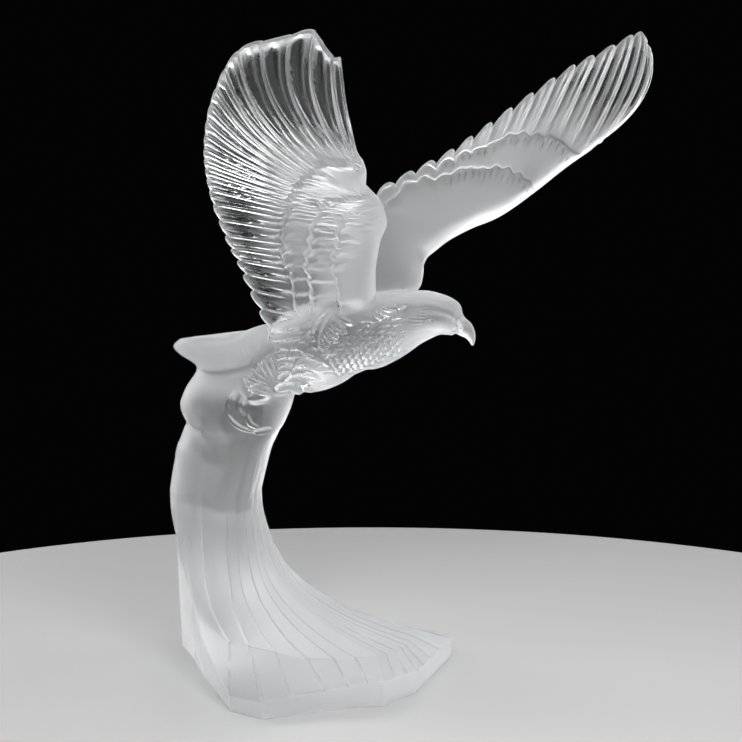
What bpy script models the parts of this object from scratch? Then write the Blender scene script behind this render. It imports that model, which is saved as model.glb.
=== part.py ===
"""Cast crystal eagle with raised wings on a swept rock: one solid piece.

Metres, +Z up. The bird heads towards +X, turned a little towards -Y, and the flat underside
of the rock lies on z = 0 with the origin inside its outline.
"""
import bmesh
import bpy
import numpy as np

# Driving sizes
HEIGHT = 0.430            # floor to the highest wing tip
DRAWN = HEIGHT / 430      # one millimetre of the free form at that height
RIM_HEIGHT = 0.011        # upright edge of the rock's foot at its front corner
GROOVE_DEPTH = 0.0012     # running grooves of the rock
TIP_THICKNESS = 0.0026    # feather tips
FEATHER_RELIEF = 0.0011   # height of a feather's lap over the next one
COVERT_STEP = 0.0014      # each row of coverts stands this much over the next
TRIANGLES = 9400          # faces kept of the whole figure

# Rock's foot, one row for each corner: rim x, y and height over the front corner's, then the
# knee where the slope meets the apron x, y and height, then the angle round the column
FOOT = (
    (-50, -75, 0, -55, 9, 22, -104),
    (-29, -92, 0, -42, 4, 21, -73),
    (11, -73, 2, -2, -20, 19, -48),
    (38, -65, 5, 30, -25, 21, -32),
    (48, -65, 6, 44, -22, 22, -22),
    (70, -34, 4, 60, 4, 20.5, -10),
    (96, 50, 2, 74, 46, 20, 6),
    (84, 72, 1, 58, 60, 18.5, 35),
    (38, 98, 1, 12, 84, 25, 65),
    (-30, 110, 6, -36, 96, 34, 95),
    (-80, 104, 34, -81, 99, 62, 130),
    (-97, 82, 76, -97, 81, 100, 162),
    (-83, 42, 31, -86, 44, 72, 205),
    (-75, 8, 18, -75, 13, 36, 236),
)
GROOVED = (0, 1, 2, 3, 5, 7, 8, 9, 10)   # corners whose fan line is a groove
GROOVE_WIDTH = 0.07       # half width of a groove, as a share of the way between two corners
DRAFT = 0.0005            # how far the upright walls lean in, per millimetre of height

# Rock's column, one row for each level: height, left, right, front and back sides, back's drop
COLUMN = (
    (120, -96.5, -35, 15, 81, 0),
    (136, -94, -31, 15, 81, 0),
    (150, -91.5, -27, 15, 80, 0),
    (161, -87, -21, 15, 79, 1),
    (167, -85.5, -18, 15, 78, 2),
    (178, -89, -13.5, 13, 77, 3),
    (190, -85, -11, 14, 75, 5),
    (201, -78, -13, 20, 72, 8),
    (207, -79.5, -16, 20, 71, 9),
    (212.5, -88, -20, 17, 70, 10),
    (217, -92.3, -23, 14.5, 70, 11),
    (220, -92.3, -24, 14, 70, 12),
    (222, -90, -24, 15, 69.5, 12.5),
)
LIP_RISE = 11             # the lip climbs this much towards the bird
LIP_FRONT = 4             # and its front stands this much over its left end
LIP_CROWN = ((0.95, 1.6), (0.8, 1.8), (0.4, 2))   # inset and height over the lip
FRONT_FLARE = 4.2         # how sharply the slope runs out at the front
SIDE_FLARE = (2, 5.5)     # and at the sides, a mix of two powers
SIDE_MIX = 0.52           # share of the first one

# Bird's trunk from rump to hook of the beak: centre, half height, half width, upward pitch
TRUNK = (
    ((-33, 34, 207), 14, 15, 15),
    ((-19, 28, 211), 21, 22, 18),
    ((-4, 20, 218), 28, 27, 20),
    ((16, 11, 226), 28, 28, 18),
    ((36, 3, 233), 26, 26, 17),
    ((54, -5, 239.6), 22.2, 21, 17),
    ((67, -11, 244.6), 18, 17, 15),
    ((77, -15, 247.4), 15.6, 14.5, 8),
    ((85, -18, 247.6), 13.2, 13, -4),
    ((91, -20, 246.4), 11.7, 11, -9),
    ((94.5, -21, 244.6), 10.3, 8.6, -13),
    ((97.3, -21.6, 241.4), 6.3, 6.2, -22),
    ((101, -22.2, 238.6), 5.4, 4.8, -38),
    ((103.5, -22.7, 235.6), 4, 3.2, -56),
    ((105, -23, 232), 2.4, 1.9, -76),
    ((105.3, -23.1, 228.4), 0.7, 0.6, -92),
)
# Swells and hollows on both sides of the head: place along the trunk, angle up from the
# side, reach along, reach round and height
HEAD_RELIEF = (
    (3.5, -82, 0.5, 34, -3.5),   # waist before the thighs
    (7.7, -14, 0.9, 14, -0.9),   # eye socket
    (7.6, -13, 0.32, 8, 1.4),    # eye
    (10.9, 10, 0.3, 60, -0.9),   # border of the beak
)

THIGHS = (
    (((0, 15, 214), 21), ((-15, 13, 207), 18), ((-30, 12, 200), 11.5), ((-43, 13, 196), 3.5)),
    (((-6, 34, 214), 18), ((-18, 48, 206), 15), ((-30, 62, 199), 10), ((-41, 72, 195), 4)),
)
FEET = ((-46, 13, 185), (-42, 74, 187))
# Shank, toes and talons of a foot, from its ankle: a path of three places and three radii
DIGITS = (
    ((28, 5, 7), (16, 1, 4), (4, 1, 1), (8, 5.5, 3.6)),
    ((-3, 4, 5), (-5, 1, 0.5), (-4, 3, -6), (3.4, 4.2, 2.6)),
    ((1, 4, 3), (1.5, 1, -2.5), (2.5, 3, -10), (3, 3.8, 2.2)),
    ((5, 5, 3), (7, 2.5, -1.5), (8.5, 5, -9), (3, 3.5, 2)),
    ((-9.5, 1.5, -8), (-3, 1, -16), (8, 2.5, -21), (1.2, 1.8, 1.1)),
    ((4, 2, -9), (6, 2, -15), (12, 5, -18.5), (2, 1.9, 1)),
    ((8, 3, -21), (14, 5.5, -20.5), (20, 10, -20), (1.6, 2.4, 2)),
)

# Wings: one row for each feather line, with its leading edge, its middle and its tip, then
# where the rows of coverts end along it, as shares of the line
NEAR_WING = (
    ((40, 1, 226), (8, 18, 220), (-24, 26, 222), (0.62, 0.46, 0.20)),
    ((41, -8, 244), (5, 9, 236), (-31, 17, 238), (0.62, 0.46, 0.20)),
    ((43, -14, 259), (1, 4, 254), (-40, 12, 259), (0.62, 0.47, 0.23)),
    ((43, -22, 277), (-2, -3, 274), (-47.5, 5, 279), (0.62, 0.48, 0.27)),
    ((46, -32, 296), (-7, -12, 293), (-55, -4, 297), (0.60, 0.43, 0.25)),
    ((50, -42, 308), (-10, -22, 314), (-63, -14, 323), (0.53, 0.36, 0.22)),
    ((48, -48, 319), (-16, -32, 334), (-66, -28, 354), (0.43, 0.26, 0.12)),
    ((44, -52, 325), (-20, -44, 350), (-59, -52, 388), (0.33, 0.12, -0.02)),
    ((40, -56, 329), (-19, -58, 367), (-41, -78, 418), (0.25, 0.02, -0.1)),
    ((37, -60, 333), (-8, -70, 380), (-14, -100, 426), (0.20, -0.1, -0.2)),
    ((37, -66, 343), (8, -80, 382), (8, -116, 430), (0.12, -0.2, -0.2)),
    ((33, -69, 347), (26.5, -86, 376), (22, -116, 414), (0.03, -0.2, -0.2)),
)
FAR_WING = (
    ((56, -3, 240), (32, 8, 240), (8, 26, 240), (0.95, 0.80)),
    ((65, 3, 254), (36, 15, 259), (7, 32, 261), (0.95, 0.80)),
    ((73, 9, 264), (49, 21, 280), (23, 36, 294), (0.95, 0.80)),
    ((74, 16, 273), (59, 28, 299), (42, 38, 322), (0.95, 0.80)),
    ((77, 20, 280), (70, 32, 308), (66, 46, 336), (0.96, 0.85)),
    ((82, 24, 284), (86, 38, 317), (91, 56, 348), (0.90, 0.73)),
    ((92, 30, 291), (104, 46, 328), (116, 68, 364), (0.79, 0.61)),
    ((107, 38, 298), (125, 57, 340), (144, 82, 383), (0.70, 0.45)),
    ((126, 48, 305), (151, 70, 354), (177, 98, 404), (0.54, 0.27)),
    ((150, 62, 320), (177, 84, 369), (200, 108, 415), (0.33, 0.0)),
    ((172, 74, 336), (198, 94, 381), (216, 116, 423), (0.11, -0.1)),
    ((189, 84, 347), (215, 102, 387), (227, 120, 427), (0.0, -0.2)),
    ((197, 88, 353), (228, 106, 382), (234, 118, 413), (-0.1, -0.2)),
)
TAIL = (
    ((-20, 36, 218), (-52, 43, 214), (-86, 50, 211), (0.3,)),
    ((-20, 41, 221), (-54, 54, 216), (-90, 66, 211), (0.3,)),
    ((-20, 47, 220), (-52, 65, 214), (-86, 84, 207), (0.3,)),
    ((-20, 52, 216), (-47, 74, 209), (-76, 98, 201), (0.3,)),
)
WING_THICKNESS = (20, 16, 13, 10, 8, 6)   # along the leading edge, from root to tip
TAIL_THICKNESS = (6, 6, 6, 6)
NEAR_FEATHERS = 26
FAR_FEATHERS = 20
# Where each fifth of the feathers begins along a wing, from root to tip
NEAR_SPACING = (0, 0.25, 0.455, 0.565, 0.72, 1)
FAR_SPACING = (0, 0.196, 0.393, 0.567, 0.731, 1)
EVEN_SPACING = (0, 0.5, 1)
TAIL_FEATHERS = 7


def along(rows, place):
    """Value at each place (0 to 1) on a smooth curve through evenly spaced rows."""
    rows = np.asarray(rows, float)
    last = len(rows) - 1
    reach = np.clip(np.asarray(place, float), 0, 1) * last
    index = np.minimum(reach.astype(int), last - 1)
    part = (reach - index).reshape(reach.shape + (1,) * (rows.ndim - 1))
    before = rows[np.maximum(index - 1, 0)]
    start = rows[index]
    end = rows[index + 1]
    after = rows[np.minimum(index + 2, last)]
    bend = (start * 3 - before - end * 3 + after) * part ** 3
    turn = (before * 2 - start * 5 + end * 4 - after) * part ** 2
    return (start * 2 + (end - before) * part + turn + bend) / 2


def step(value, start, end):
    """Smooth rise from 0 at the start to 1 at the end."""
    part = np.clip((value - start) / (end - start), 0, 1)
    return part * part * (3 - 2 * part)


def skin(name, rows, ends=(0, -1)):
    """Mesh object over rows of points that run round it, with a fan over each end row."""
    mesh = bmesh.new()
    grid = [[mesh.verts.new(point) for point in row] for row in rows]
    count = len(grid[0])
    for lower, upper in zip(grid, grid[1:]):
        for near in range(count):
            far = (near + 1) % count
            mesh.faces.new((lower[near], lower[far], upper[far], upper[near]))
    for row in (grid[end] for end in ends):
        middle = mesh.verts.new(np.mean([vertex.co for vertex in row], axis=0))
        for near in range(count):
            mesh.faces.new((row[near], row[(near + 1) % count], middle))
    return finish(name, mesh)


def finish(name, mesh):
    """Object from a closed mesh, with its faces turned outwards."""
    bmesh.ops.remove_doubles(mesh, verts=mesh.verts, dist=0.00002)
    bmesh.ops.recalc_face_normals(mesh, faces=mesh.faces)
    data = bpy.data.meshes.new(name)
    mesh.to_mesh(data)
    mesh.free()
    made = bpy.data.objects.new(name, data)
    bpy.context.scene.collection.objects.link(made)
    return made


def grid_normals(points):
    """Unit normals of a grid of points."""
    down = np.gradient(points, axis=0)
    across = np.gradient(points, axis=1)
    normals = np.cross(down, across)
    return normals / np.maximum(np.linalg.norm(normals, axis=2, keepdims=True), 1e-12)


def rock_ring(angles, level):
    """Round of the column at one level, a rounded square turned with the foot's left side."""
    height, left, right, front, back, drop = level
    cosine = np.cos(angles)
    sine = np.sin(angles)
    middle = np.array(((left + right) / 2, (front + back) / 2))
    reach = 1 / (np.abs(cosine) ** 2.4 + np.abs(sine) ** 2.4) ** (1 / 2.4)
    x = middle[0] + cosine * reach * (right - left) / 2
    y = middle[1] + sine * reach * (back - front) / 2
    lean = step(height, 190, 220) * LIP_RISE * step(x, -64, -20)
    forward = step(height, 206, 220) * LIP_FRONT * (1 - step(y, front, (front + back) / 2))
    z = height + lean + forward - drop * step(y, (front + back) / 2, back)
    return np.stack((x, y, z), axis=1)


def rock():
    """Rock: a faceted foot whose slope sweeps up into the column and its lip."""
    corners = len(FOOT)
    shares = np.array((0, 0.05, 0.18, 0.4, 0.6, 0.82, 0.95))
    place = (np.arange(corners)[:, None] + shares).ravel()
    table = np.array(FOOT + FOOT[:1], float)
    table[-1, 6] += 360
    fan = np.stack([np.interp(place, range(corners + 1), column) for column in table.T], axis=1)
    rim = fan[:, :3] + np.array((0, 0, RIM_HEIGHT / DRAWN))
    knee = fan[:, 3:6]
    angles = np.radians(fan[:, 6])
    foot_top = rock_ring(angles, COLUMN[0])

    drawn_in = 1 - DRAFT * rim[:, 2:]
    rows = [rim * np.concatenate((drawn_in, drawn_in, 0 * drawn_in), axis=1), rim]
    rows += [rim + (knee - rim) * share for share in (0.03, 0.25, 0.5, 0.75, 0.94, 1)]
    to_front = np.clip(-np.sin(angles), 0, 1)
    for share in (0.03, 0.08, 0.14, 0.22, 0.32, 0.44, 0.58, 0.72, 0.86):
        height = knee[:, 2] + (foot_top[:, 2] - knee[:, 2]) * share
        side = SIDE_MIX * (1 - share) ** SIDE_FLARE[0] + (1 - SIDE_MIX) * (1 - share) ** SIDE_FLARE[1]
        spread = side + ((1 - share) ** FRONT_FLARE - side) * to_front
        ring = foot_top + (knee - foot_top) * spread[:, None]
        ring[:, 2] = height
        rows.append(ring)
    for share in np.linspace(0, 1, 27):
        rows.append(rock_ring(angles, along(COLUMN, share)))
    lip = rows[-1]
    middle = lip.mean(axis=0)
    for inset, rise in LIP_CROWN:
        ring = middle + (lip - middle) * inset
        rows.append(ring + np.array((0, 0, rise)))
    points = np.array(rows) * DRAWN

    off_line = np.abs(place - np.rint(place))
    on_groove = np.isin(np.rint(place) % corners, GROOVED)
    notch = np.exp(-(off_line / GROOVE_WIDTH) ** 2) * on_groove
    lap = np.where(on_groove, 0.5 - (place % 1), 0) * 0.6
    heights = points[:, :, 2] / DRAWN
    above_rim = (np.arange(len(rows)) > 2)[:, None]
    reach = above_rim * (1 - step(heights, 60, 150))
    depth = (notch[None, :] + lap[None, :]) * reach * GROOVE_DEPTH
    normals = grid_normals(points)
    middle = points.mean(axis=1, keepdims=True)
    outward = np.sign(((points - middle) * normals).sum(axis=2, keepdims=True))
    points = points - normals * outward * depth[:, :, None]
    return skin("rock", points)


def limb(name, centres, half_heights, half_widths, rings, sides, pitches=None, relief=()):
    """Rounded limb through its stations, with swells and hollows on both of its sides.

    pitches are the upward angles in degrees that the rings face, the path's own if not given.
    """
    last = len(centres) - 1
    place = np.linspace(0, 1, rings)
    spine = along(centres, place)
    tall = along(half_heights, place)
    wide = along(half_widths, place)
    heading = np.gradient(spine, axis=0)
    heading /= np.linalg.norm(heading, axis=1, keepdims=True)
    side = np.cross(heading, (0.0, 0.0, 1.0))
    side[:] = side.mean(axis=0)
    side /= np.linalg.norm(side, axis=1, keepdims=True)
    if pitches is not None:
        pitch = np.radians(along(pitches, place))[:, None]
        heading = np.cross((0.0, 0.0, 1.0), side) * np.cos(pitch) + np.array((0, 0, 1)) * np.sin(pitch)
    upward = np.cross(side, heading)
    angles = np.linspace(0, 2 * np.pi, sides, endpoint=False)
    from_side = np.degrees(np.arcsin(np.sin(angles)))
    rows = []
    for index in range(rings):
        raised = np.zeros(sides)
        for station, angle, length, round_reach, height in relief:
            offset = ((place[index] * last - station) / length) ** 2
            raised += height * np.exp(-offset - ((from_side - angle) / round_reach) ** 2)
        across = (wide[index] + raised) * np.cos(angles)
        up = (tall[index] + raised) * np.sin(angles)
        rows.append(spine[index] + np.outer(across, side[index]) + np.outer(up, upward[index]))
    return skin(name, np.array(rows) * DRAWN)


def digit(name, path, radii, rings, sides):
    """Shank, toe or talon: a limb that ends in a round tip."""
    place = np.linspace(0, 1, rings)
    round_tip = np.sqrt(1 - np.clip((place - 0.75) / 0.26, 0, 1) ** 2)
    girth = along(radii, place) * round_tip
    return limb(name, along(path, place), girth, girth, rings, sides)


def wing(name, lines, feathers, spacing, arm, root, across, inner, notch, dent=(0, 1, 0)):
    """Closed sheet through its feather lines: thick at the arm, lapped feathers on both faces.

    arm is the thickness along the leading edge from root to tip, root the extra thickness
    where the wing leaves the body, notch the step between two feather tips, and dent the line,
    reach and depth of a notch in the outline.
    """
    shares = np.array((0, 0.36, 0.7, 0.86))
    number = (np.arange(feathers)[:, None] + shares).ravel() / feathers
    number = np.append(number, 1)
    u = along(spacing, number)
    v = np.linspace(0, 1, across)
    v = np.concatenate(((0, 0.012, 0.04), v[v > 0.05]))
    leading = along([line[0] for line in lines], u)[:, None]
    middle = along([line[1] for line in lines], u)[:, None]
    tip = along([line[2] for line in lines], u)[:, None]
    edges = along([line[3] for line in lines], u)

    phase = (number * feathers) % 1
    rounded = np.where(number < 1, np.abs(2 * phase - 0.9) ** 3, 0)
    length = np.linalg.norm(tip - leading, axis=2)
    off_dent = (u * (len(lines) - 1) - dent[0]) / dent[1]
    cut = np.clip(rounded, 0, 1.2) * notch + dent[2] * np.clip(1 - off_dent ** 2, 0, 1) ** 1.5
    share = v[None, :] - cut[:, None] / length * v[None, :] ** 5

    def spread(part):
        near = leading * (1 - part) * (1 - 2 * part) + middle * 4 * part * (1 - part)
        return near + tip * part * (2 * part - 1)

    sheet = spread(share[:, :, None])
    normals = grid_normals(spread(v[None, :, None]))

    nose = np.sqrt(np.clip(1 - (1 - np.clip(v / 0.14, 0, 1)) ** 2, 0, 1))[None, :]
    edge = np.sqrt(np.clip(1 - (1 - np.clip((1 - u) / 0.03, 0, 1)) ** 2, 0, 1))[:, None]
    along_arm = along(arm, u)[:, None]
    tips = TIP_THICKNESS / DRAWN
    thick = (tips + (along_arm - tips) * (1 - v[None, :]) ** 1.3) * nose
    thick = thick + root * (1 - step(u, 0, inner))[:, None] * (1 - step(v, 0.4, 1))[None, :] * nose
    lap = (FEATHER_RELIEF / DRAWN) * (phase - 0.5)[:, None]
    long_feathers = step(share, edges[:, :1], edges[:, :1] + 0.12)
    thick = thick + 2 * lap * long_feathers * (0.35 + 0.65 * v[None, :])
    for row in range(edges.shape[1]):
        cover = 1 - step(share, edges[:, row:row + 1] - 0.025, edges[:, row:row + 1] + 0.025)
        thick = thick + 2 * COVERT_STEP / DRAWN * cover * nose
    thick = thick * edge
    front = (sheet + normals * thick[:, :, None] / 2) * DRAWN
    back = (sheet - normals * thick[:, :, None] / 2) * DRAWN
    rounds = np.concatenate((front[:, ::-1], back[:, 1:]), axis=1)
    return skin(name, rounds, ends=(0,))


def joined(name, pieces):
    """One solid from pieces that run into each other."""
    whole = pieces[0]
    whole.name = name
    for piece in pieces[1:]:
        union = whole.modifiers.new("union", "BOOLEAN")
        union.operation = "UNION"
        union.solver = "MANIFOLD"
        union.object = piece
        bake(whole)
        bpy.data.objects.remove(piece)
    return whole


def bake(made):
    """Apply an object's modifiers to its mesh."""
    shaped = made.evaluated_get(bpy.context.evaluated_depsgraph_get())
    data = bpy.data.meshes.new_from_object(shaped)
    made.modifiers.clear()
    made.data = data


def eagle():
    """All the forms, cast as one."""
    centres, half_heights, half_widths, pitches = zip(*TRUNK)
    pieces = [rock(), limb("trunk", centres, half_heights, half_widths, 58, 32, pitches, HEAD_RELIEF)]
    for thigh, ankle, side in zip(THIGHS, FEET, (1, -1)):
        centres, radii = zip(*thigh)
        pieces.append(limb("thigh", centres, radii, radii, 10, 16))
        for *path, radii in DIGITS:
            path = np.array(ankle) + np.array(path) * (1, side, 1)
            pieces.append(digit("digit", path, radii, 9, 10))
    pieces.append(wing("near wing", NEAR_WING, NEAR_FEATHERS, NEAR_SPACING, WING_THICKNESS, 8, 14, 0.2, 3,
                       (10.45, 0.5, 6)))
    pieces.append(wing("far wing", FAR_WING, FAR_FEATHERS, FAR_SPACING, WING_THICKNESS, 10, 14, 0.2, 6))
    pieces.append(wing("tail", TAIL, TAIL_FEATHERS, EVEN_SPACING, TAIL_THICKNESS, 0, 8, 0.1, 3))
    return joined("crystal_eagle", pieces)


def crystal():
    """Frosted colourless crystal."""
    material = bpy.data.materials.new("crystal")
    material.use_nodes = True
    shader = material.node_tree.nodes["Principled BSDF"]
    shader.inputs["Base Color"].default_value = (0.93, 0.95, 0.96, 1)
    shader.inputs["Roughness"].default_value = 0.3
    shader.inputs["Metallic"].default_value = 0
    shader.inputs["IOR"].default_value = 1.52
    shader.inputs["Transmission Weight"].default_value = 0.9
    return material


for old in list(bpy.data.objects):
    bpy.data.objects.remove(old)

figure = eagle()
figure.data.materials.append(crystal())
thinned = figure.modifiers.new("fewer faces", "DECIMATE")
thinned.ratio = min(1, TRIANGLES / sum(len(face.vertices) - 2 for face in figure.data.polygons))
bake(figure)
print("triangles", sum(len(face.vertices) - 2 for face in figure.data.polygons))
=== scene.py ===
"""Looks of the cast crystal eagle: one fine closed mesh, frosted crystal, floor, lights and camera.

The forms repeat the construction's own, drawn finer and with their carving: flight feathers with
shafts and polished troughs, coverts, body feathers, the head, and the swept rock.
"""

import bmesh
import bpy
import numpy as np
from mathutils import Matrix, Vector
from mathutils.kdtree import KDTree


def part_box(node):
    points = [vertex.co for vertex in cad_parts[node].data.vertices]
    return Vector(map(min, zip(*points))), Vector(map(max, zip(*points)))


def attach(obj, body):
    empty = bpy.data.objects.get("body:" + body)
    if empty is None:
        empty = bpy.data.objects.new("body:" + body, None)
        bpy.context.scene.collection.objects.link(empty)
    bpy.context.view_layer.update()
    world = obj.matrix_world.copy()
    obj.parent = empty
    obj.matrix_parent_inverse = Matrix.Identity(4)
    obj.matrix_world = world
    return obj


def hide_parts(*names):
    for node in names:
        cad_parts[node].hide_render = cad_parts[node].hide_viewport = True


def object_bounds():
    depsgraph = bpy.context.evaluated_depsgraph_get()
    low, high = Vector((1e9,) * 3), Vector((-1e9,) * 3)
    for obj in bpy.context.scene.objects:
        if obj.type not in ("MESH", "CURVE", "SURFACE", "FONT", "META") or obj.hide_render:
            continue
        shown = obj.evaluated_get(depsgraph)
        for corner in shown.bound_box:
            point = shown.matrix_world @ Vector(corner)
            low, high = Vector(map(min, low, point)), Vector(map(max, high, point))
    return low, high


NODE = "crystal_eagle"
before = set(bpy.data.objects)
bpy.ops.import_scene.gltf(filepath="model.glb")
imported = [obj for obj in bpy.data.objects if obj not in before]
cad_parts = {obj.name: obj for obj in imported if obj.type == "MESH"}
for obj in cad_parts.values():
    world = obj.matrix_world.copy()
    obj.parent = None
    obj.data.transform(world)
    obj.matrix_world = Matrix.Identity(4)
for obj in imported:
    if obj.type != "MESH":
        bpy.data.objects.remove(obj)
cad_low, cad_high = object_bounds()

# Driving sizes, in metres, and the drawn millimetre that the free form is given in
CAD_TOP = 430.96  # drawn height of the node's box
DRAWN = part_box(NODE)[1].z / CAD_TOP
RIM_HEIGHT = 0.011
FACES = 198000  # triangles kept at most
MERGE = 0.00002  # points nearer than this are one
SHARP = 50  # edges that turn more than this stay sharp, in degrees

# Rock's foot: rim x, y and height over the front corner's, knee x, y and height, column angle
FOOT = (
    (-50, -75, 0, -55, 9, 22, -104),
    (-29, -92, 0, -42, 4, 21, -73),
    (11, -73, 2, -2, -20, 19, -48),
    (38, -65, 5, 30, -25, 21, -32),
    (48, -65, 6, 44, -22, 22, -22),
    (70, -34, 4, 60, 4, 20.5, -10),
    (96, 50, 2, 74, 46, 20, 6),
    (84, 72, 1, 58, 60, 18.5, 35),
    (38, 98, 1, 12, 84, 25, 65),
    (-30, 110, 6, -36, 96, 34, 95),
    (-80, 104, 34, -81, 99, 62, 130),
    (-97, 82, 76, -97, 81, 100, 162),
    (-83, 42, 31, -86, 44, 72, 205),
    (-75, 8, 18, -75, 13, 36, 236),
)
DRAFT = 0.0005  # how far the walls lean in, per millimetre of height
GROOVED = (0, 1, 2, 3, 5, 7, 8, 9, 10)
# Columns of points between two corners, and fine lines between them, as places along the corners
FRONT_SHARES = np.array((0, 0.012, 0.024, 0.04, 0.06, 0.09, 0.14, 0.21, 0.3, 0.4, 0.5, 0.6, 0.7,
                         0.79, 0.86, 0.91, 0.94, 0.96, 0.976, 0.988))
BACK_SHARES = np.array((0, 0.03, 0.07, 0.2, 0.4, 0.6, 0.8, 0.93, 0.97))
FINE_LINES = (1.45, 2.55, 4.35, 4.7, 5.2, 5.42, 5.68)

# Rock's column: height, left, right, front and back sides, back's drop
COLUMN = (
    (120, -96.5, -35, 15, 81, 0),
    (136, -94, -31, 15, 81, 0),
    (150, -91.5, -27, 15, 80, 0),
    (161, -87, -21, 15, 79, 1),
    (167, -85.5, -18, 15, 78, 2),
    (178, -89, -13.5, 13, 77, 3),
    (190, -85, -11, 14, 75, 5),
    (201, -78, -13, 20, 72, 8),
    (207, -79.5, -16, 20, 71, 9),
    (212.5, -88, -20, 17, 70, 10),
    (217, -92.3, -23, 14.5, 70, 11),
    (220, -92.3, -24, 14, 70, 12),
    (222, -90, -24, 15, 69.5, 12.5),
)
LIP_RISE = 11
LIP_FRONT = 4
LIP_CROWN = ((0.985, 0.7), (0.95, 1.3), (0.8, 1.5), (0.6, 1.6), (0.4, 1.7), (0.2, 1.8))
FRONT_FLARE = 4.2  # how sharply the slope runs out at the front
SIDE_FLARE = (2, 5.5)  # and at the sides, a mix of two powers
SIDE_MIX = 0.52  # share of the first one
FAN_GROOVE = 1.3  # depth and half width of the grooves down the rock
FAN_GROOVE_WIDTH = 0.028  # as a share of the way between two corners
FLUTE = 0.5  # soft flutes of the column over the grooves
LAP = 0.6  # rise of the rock from one groove to the next
FINE_DEPTH = 0.7  # depth of a fine line, as a share of a groove's
GROOVE_GLOSS = 0.5  # polish of the grooves, and the most that the rock has
ROCK_GLOSS = 0.95
GROOVES_END = (50, 130)  # heights between which the grooves fade
FLUTES_BEGIN = (30, 80)  # and between which the flutes come and go
FLUTES_END = (110, 170)
MARKS_DEPTH = 60  # the rock's marks stay in front of this depth
SOLE_INSET = 0.995  # softened edge under the foot, and the rim's own
SOLE_EDGE = 0.5
RIM_EDGE = 0.3
RIM_SHARES = (0.3, 0.6, 0.9)  # rings up the rim, the apron, the slope and the column
APRON_SHARES = (0.012, 0.03, 0.08, 0.16, 0.26, 0.37, 0.48, 0.59, 0.7, 0.8, 0.88, 0.94, 0.98)
SLOPE_RINGS = 36
SLOPE_CROWDING = 1.5  # how much closer the rings are at the slope's foot
COLUMN_RINGS = 46
FINE_COLUMNS = np.array((-0.024, -0.012, 0, 0.012, 0.024))
ROUNDNESS = 2.4  # power of the column's rounded square
LEAN_HEIGHTS = (190, 220)  # heights and x between which the lip rises to the right
LEAN_SPAN = (-64, -20)
FORWARD_HEIGHTS = (206, 220)  # heights between which its front rises

# Trunk from rump to hook: centre, half height, half width, upward pitch
TRUNK = (
    ((-33, 34, 207), 14, 15, 15),
    ((-19, 28, 211), 21, 22, 18),
    ((-4, 20, 218), 28, 27, 20),
    ((16, 11, 226), 28, 28, 18),
    ((36, 3, 233), 26, 26, 17),
    ((54, -5, 239.6), 22.2, 21, 17),
    ((67, -11, 244.6), 18, 17, 15),
    ((77, -15, 247.4), 15.6, 14.5, 8),
    ((85, -18, 247.6), 13.2, 13, -4),
    ((91, -20, 246.4), 11.7, 11, -9),
    ((94.5, -21, 244.6), 10.3, 8.6, -13),
    ((97.3, -21.6, 241.4), 6.3, 6.2, -22),
    ((101, -22.2, 238.6), 5.4, 4.8, -38),
    ((103.5, -22.7, 235.6), 4, 3.2, -56),
    ((105, -23, 232), 2.4, 1.9, -76),
    ((105.3, -23.1, 228.4), 0.7, 0.6, -92),
)
TRUNK_RINGS = 200
TRUNK_SIDES = 150
RING_SHARES = (0, 0.62, 0.97, 1)  # share of the rings up to each of these stations
RING_STATIONS = (0, 6, 13.3, 15)
SPINE_POINTS = 400
CROWDING = 0.45  # how much closer a dressed limb's points are on its sides

# Swells and hollows on both sides of the head: station, angle up from the side, reach along,
# reach round in degrees, height and polish
HEAD_RELIEF = (
    (3.5, -82, 0.5, 34, -3.5, 0),  # waist before the thighs
    (8, 34, 2.2, 7, 0.8, 0),  # brow
    (8, 18, 2.2, 8, -0.7, 0.2),
    (7.7, -14, 0.8, 12, -1.2, 0.3),  # eye socket
    (7.6, -13, 0.34, 7, 1.7, 0.9),  # eye
    (10.6, 10, 0.3, 60, -1.1, 0.3),  # border of the beak
    (11.4, 8, 0.4, 18, 0.9, 0.3),  # cere
    (11.7, 2, 0.2, 12, -1.5, 1),  # nostril
    (11, -52, 1.6, 6, -0.9, 0.8),  # mouth
    (12, -34, 1.2, 8, 0.5, 0.3),
)

THIGHS = (
    (((0, 15, 214), 21), ((-15, 13, 207), 18), ((-30, 12, 200), 11.5), ((-43, 13, 196), 3.5)),
    (((-6, 34, 214), 18), ((-18, 48, 206), 15), ((-30, 62, 199), 10), ((-41, 72, 195), 4)),
)
THIGH_RINGS = 60
THIGH_SIDES = 92
FEET = ((-46, 13, 185), (-42, 74, 187))
# Shank, toes and talons of a foot, from its ankle: a path of three places and three radii
DIGITS = (
    ((28, 5, 7), (16, 1, 4), (4, 1, 1), (8, 5.5, 3.6)),
    ((-3, 4, 5), (-5, 1, 0.5), (-4, 3, -6), (3.4, 4.2, 2.6)),
    ((1, 4, 3), (1.5, 1, -2.5), (2.5, 3, -10), (3, 3.8, 2.2)),
    ((5, 5, 3), (7, 2.5, -1.5), (8.5, 5, -9), (3, 3.5, 2)),
    ((-9.5, 1.5, -8), (-3, 1, -16), (8, 2.5, -21), (1.2, 1.8, 1.1)),
    ((4, 2, -9), (6, 2, -15), (12, 5, -18.5), (2, 1.9, 1)),
    ((8, 3, -21), (14, 5.5, -20.5), (20, 10, -20), (1.6, 2.4, 2)),
)
DIGIT_GLOSS = 0.45  # how far the feet are polished
DIGIT_RINGS = 16
DIGIT_SIDES = 18
DIGIT_TIP = (0.75, 0.26)  # where a digit begins to close, and over which reach

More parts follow.
